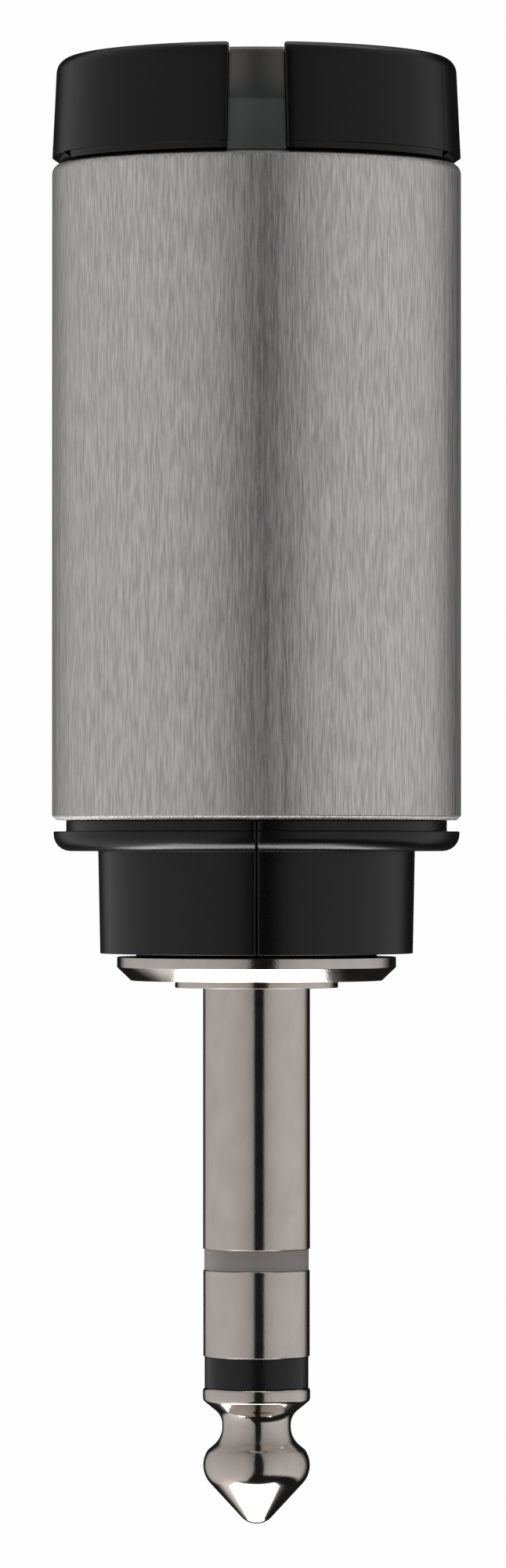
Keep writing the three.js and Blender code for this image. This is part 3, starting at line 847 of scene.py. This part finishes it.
def tip_outline():
    """A rounded head, a hollow waist, a bulb, a cone and a ball end, below a thin rod."""
    bottom, tail = span("plug_tip")[1:]
    top = span("tip_insulator")[1]
    rod_r = 0.85 * MM
    head_r, top_corner, low_corner, head_low = 3.185 * MM, 0.22 * MM, 0.3 * MM, top - 0.62 * MM
    waist_r, high_waist, low_waist = 2.034 * MM, 1.09 * MM, 1.43 * MM
    bulb_r, bulb_z, bulb = 3.165 * MM, top - 4.62 * MM, 1.578 * MM
    ball_r = 1.213 * MM
    neck, flare, crease, cone = 50, 48, 34.5, -43
    return [
        (0, tail),
        (rod_r, tail),
        (rod_r, top),
        *arc(head_r - top_corner, top - top_corner, top_corner, 90, 0, 6),
        *arc(head_r - low_corner, head_low, low_corner, 0, -neck, 7),
        *arc(waist_r + high_waist, top - 2.22 * MM, high_waist, 180 - neck, 180, 12),
        *arc(waist_r + low_waist, top - 2.34 * MM, low_waist, 180, 180 + flare, 12),
        *arc(bulb_r - bulb, bulb_z, bulb, crease, cone, 18),
        *arc(0, bottom + ball_r, ball_r, cone, -90, 10)[:-1],
        (0, bottom),
    ]


def add_plug():
    """The sleeve with its shoulder and stub, the insulators and ring, and the tip."""
    r, bottom, tail = span("plug_sleeve")
    sleeve_r, bore, thread_r = 3.175 * MM, 2.45 * MM, 4.4 * MM
    shoulder_top = span("seat_washer")[1]
    outline = rounded([
        (bore, bottom, 0),
        (sleeve_r, bottom, SOFT_EDGE),
        (sleeve_r, 0, 0.05 * MM),
        (r, 0, 0.03 * MM),
        (r, shoulder_top, 0.02 * MM),
        (thread_r, shoulder_top, 0),
        (thread_r, tail, 0),
        (bore, tail, 0),
    ], 4)
    turn_piece("sleeve", outline, PLUG_STEPS, "plug_nickel", ["plug_sleeve"])
    pole("insulator_grey", "ring_insulator", "grey_insulator", 1.85 * MM, 2.4 * MM)
    pole("ring_contact", "plug_ring", "plug_nickel", 1.35 * MM, 1.8 * MM)
    pole("insulator_black", "tip_insulator", "black_insulator", 0.9 * MM, 1.3 * MM)
    turn_piece("tip_contact", tip_outline(), PLUG_STEPS, "plug_nickel", ["plug_tip"])


# ---- What stays as the CAD made it -------------------------------------------------------------


def dress_inner_nodes():
    """The hidden pieces keep their CAD shape and get their slot's material."""
    for part in frame["record"]["subparts"]:
        node = frame["nodes"][part["node"]]
        if not node.hide_render:
            node.data.materials.clear()
            node.data.materials.append(FINISHES[part["material_slot"]])


# ---- Floor, light and camera -------------------------------------------------------------------

AIM_Z = 12.07 * MM
CAMERA_X = -0.21 * MM
CAMERA_Z = 8.7 * MM
CAMERA_DISTANCE = 480 * MM
VIEW_HEIGHT = 93.01 * MM


def add_floor():
    """A pale seamless sheet below the plug's tip."""
    half, drop = 0.6, 0.12
    builder = Builder()
    z = cad_box[0][2] - drop
    corners = ((-half, -half), (half, -half), (half, half), (-half, half))
    builder.face([builder.point(x, y, z) for x, y in corners])
    floor = builder.make("floor")
    material, tree, shader = plain("floor_paper", (0.93, 0.93, 0.93), 0.9, Emission_Strength=0.5)
    shader.inputs["Emission Color"].default_value = (1, 1, 1, 1)
    cloud = spread(tree, noise(tree, 40), 0, 1)
    tone = blend_colours(tree, cloud, (0.92, 0.92, 0.92), (0.94, 0.94, 0.94))
    tree.links.new(tone, shader.inputs["Base Color"])
    floor.data.materials.append(material)
    floor.visible_glossy = False
    floor.visible_diffuse = False
    floor.visible_shadow = False


# Sheets of light by bearing: (degrees round from the front, brightness). Right is positive.
LEFT_SHEET = [
    (-154, 0.0), (-148, 0.16), (-140, 0.45), (-120, 0.51), (-89, 0.52), (-56, 0.50),
    (-41, 0.47), (-31, 0.45), (-21, 0.41), (-13, 0.35), (-7, 0.3), (-4, 0.0),
]
RIGHT_SHEET = [
    (14, 0.0), (19, 0.36), (30, 0.44), (40, 0.49), (54, 0.52), (87, 0.555),
    (107, 0.54), (125, 0.45), (133, 0.2), (143, 0.0),
]
REAR_SHEET = [(-180, 0.42), (-152, 0.42), (-140, 0.0), (128, 0.0), (140, 0.42), (180, 0.42)]
# How the sheets fade upwards: (degrees above the horizon, half the share of their brightness).
FADE = [
    (-60, 0.8), (-45, 0.69), (-35, 0.605), (-15, 0.54), (5, 0.5),
    (35, 0.43), (55, 0.36), (75, 0.25), (90, 0.17),
]
PAST_ZENITH = 120  # degrees, so that no sheet ends before the zenith
FAINT_LIGHT = 0.012  # what comes from every direction
WHITE_BEHIND = 0.99  # what the camera sees past the object


def by_angle(tree, angle, stops, reach=180):
    """A brightness that follows a list of stops between two angles, -reach and reach degrees."""
    ramp = tree.nodes.new("ShaderNodeValToRGB")
    share = spread(tree, angle, 0, 1, -reach, reach)
    tree.links.new(share, ramp.inputs["Fac"])
    elements = ramp.color_ramp.elements
    while len(elements) < len(stops):
        elements.new(0.5)
    for element, (degrees, value) in zip(elements, stops):
        element.position = (degrees + reach) / (2 * reach)
        element.color = (value, value, value, 1)
    return ramp.outputs["Color"]


def window(tree, value, low, high, soft):
    """One between low and high, nought outside, with soft ends."""
    rise = spread(tree, value, 0, 1, low - soft, low + soft)
    fall = spread(tree, value, 1, 0, high - soft, high + soft)
    return join(tree, "MULTIPLY", rise, fall)


def sheet(tree, bearing, stops, rise, lowest, soft):
    """A sheet of light by bearing, from its lowest angle above the horizon up to the zenith."""
    seen = window(tree, rise, lowest, PAST_ZENITH, soft)
    return join(tree, "MULTIPLY", by_angle(tree, bearing, stops), seen)


def card(tree, x, y, depth, centre, half_width, taper, y_range, soft, brightness):
    """A flat card one unit above or below, on the side where depth is positive.

    Its half width shrinks by the taper for each unit towards the rear.
    """
    ahead = join(tree, "MAXIMUM", depth, 0.02)
    along = join(tree, "DIVIDE", y, ahead)
    aside = join(tree, "SUBTRACT", join(tree, "DIVIDE", x, ahead), centre)
    edge = join(tree, "SUBTRACT", half_width, join(tree, "MULTIPLY", along, taper))
    inside = join(tree, "SUBTRACT", edge, join(tree, "ABSOLUTE", aside, 0.0))
    across = spread(tree, inside, 0, 1, -soft, soft)
    lit = join(tree, "MULTIPLY", across, window(tree, along, *y_range, soft))
    facing = join(tree, "GREATER_THAN", depth, 0.05)
    return join(tree, "MULTIPLY", join(tree, "MULTIPLY", lit, facing), brightness)


def add_world():
    """A light tent: sheets left and right with a dark gap in front, and cards below and above.

    The camera sees plain white past the object.
    """
    world = bpy.data.worlds.new("studio")
    world.use_nodes = True
    tree = world.node_tree
    place = tree.nodes.new("ShaderNodeTexCoord")
    parts = tree.nodes.new("ShaderNodeSeparateXYZ")
    tree.links.new(place.outputs["Generated"], parts.inputs["Vector"])
    x, y, z = parts.outputs
    ahead = join(tree, "MULTIPLY", y, -1.0)
    down = join(tree, "MULTIPLY", z, -1.0)
    turn = join(tree, "MULTIPLY", join(tree, "ARCTAN2", x, ahead), 180 / math.pi)
    # Far below the horizon, the left sheet's bearings shift: one way in front and the other behind.
    low = join(tree, "POWER", join(tree, "MAXIMUM", down, 0.0), 3.0)
    pull = spread(tree, ahead, -18, 40, -0.2, 0.2)
    left_bearing = join(tree, "ADD", turn, join(tree, "MULTIPLY", low, pull))
    rise = join(tree, "MULTIPLY", join(tree, "ARCSINE", z, 0.0), 180 / math.pi)
    fade = join(tree, "MULTIPLY", by_angle(tree, rise, FADE, 90), 2.0)
    left = sheet(tree, left_bearing, LEFT_SHEET, rise, lowest=-58, soft=6)
    right = sheet(tree, turn, RIGHT_SHEET, rise, lowest=-31, soft=4)
    rear = sheet(tree, turn, REAR_SHEET, rise, lowest=32, soft=5)
    below = card(
        tree, x, y, down, centre=-0.05, half_width=0.55, taper=0.1,
        y_range=(-0.2, 0.95), soft=0.04, brightness=5.5,
    )
    glow = card(
        tree, x, y, down, centre=-0.15, half_width=0.72, taper=0.1,
        y_range=(-0.2, 0.95), soft=0.12, brightness=0.18,
    )
    above = card(
        tree, x, y, z, centre=0.18, half_width=0.42, taper=0.0,
        y_range=(0.38, 0.66), soft=0.04, brightness=1.6,
    )
    total = FAINT_LIGHT
    for part in (left, right, rear):
        total = join(tree, "ADD", join(tree, "MULTIPLY", part, fade), total)
    for part in (below, glow, above):
        total = join(tree, "ADD", part, total)
    rays = tree.nodes.new("ShaderNodeLightPath")
    shade = tree.nodes.new("ShaderNodeMix")
    tree.links.new(rays.outputs["Is Camera Ray"], shade.inputs[0])
    tree.links.new(total, shade.inputs[2])
    shade.inputs[3].default_value = WHITE_BEHIND
    background = tree.nodes["Background"]
    tree.links.new(shade.outputs[0], background.inputs["Color"])
    bpy.context.scene.world = world
    bpy.context.scene.view_settings.view_transform = "Standard"


def add_camera():
    """A camera a little below the object's middle, pitched up to look at AIM_Z."""
    camera = bpy.data.cameras.new("camera")
    camera.sensor_fit = "VERTICAL"
    camera.sensor_height = 36
    camera.lens = camera.sensor_height * CAMERA_DISTANCE / VIEW_HEIGHT
    camera.clip_start = 0.01
    camera.clip_end = 10
    viewer = bpy.data.objects.new("camera", camera)
    viewer.location = (CAMERA_X, -CAMERA_DISTANCE, CAMERA_Z)
    pitch = math.atan2(AIM_Z - CAMERA_Z, CAMERA_DISTANCE)
    viewer.rotation_euler = (math.radians(90) + pitch, 0, 0)
    bpy.context.scene.collection.objects.link(viewer)
    bpy.context.scene.camera = viewer


# ---- The scene ---------------------------------------------------------------------------------

add_camera()
add_barrel()
add_seat()
add_housing()
cap_shape = CapShape()
add_cap(cap_shape)
add_light_pipe(cap_shape)
add_plug()
dress_inner_nodes()
add_floor()
add_world()

bpy.context.view_layer.update()
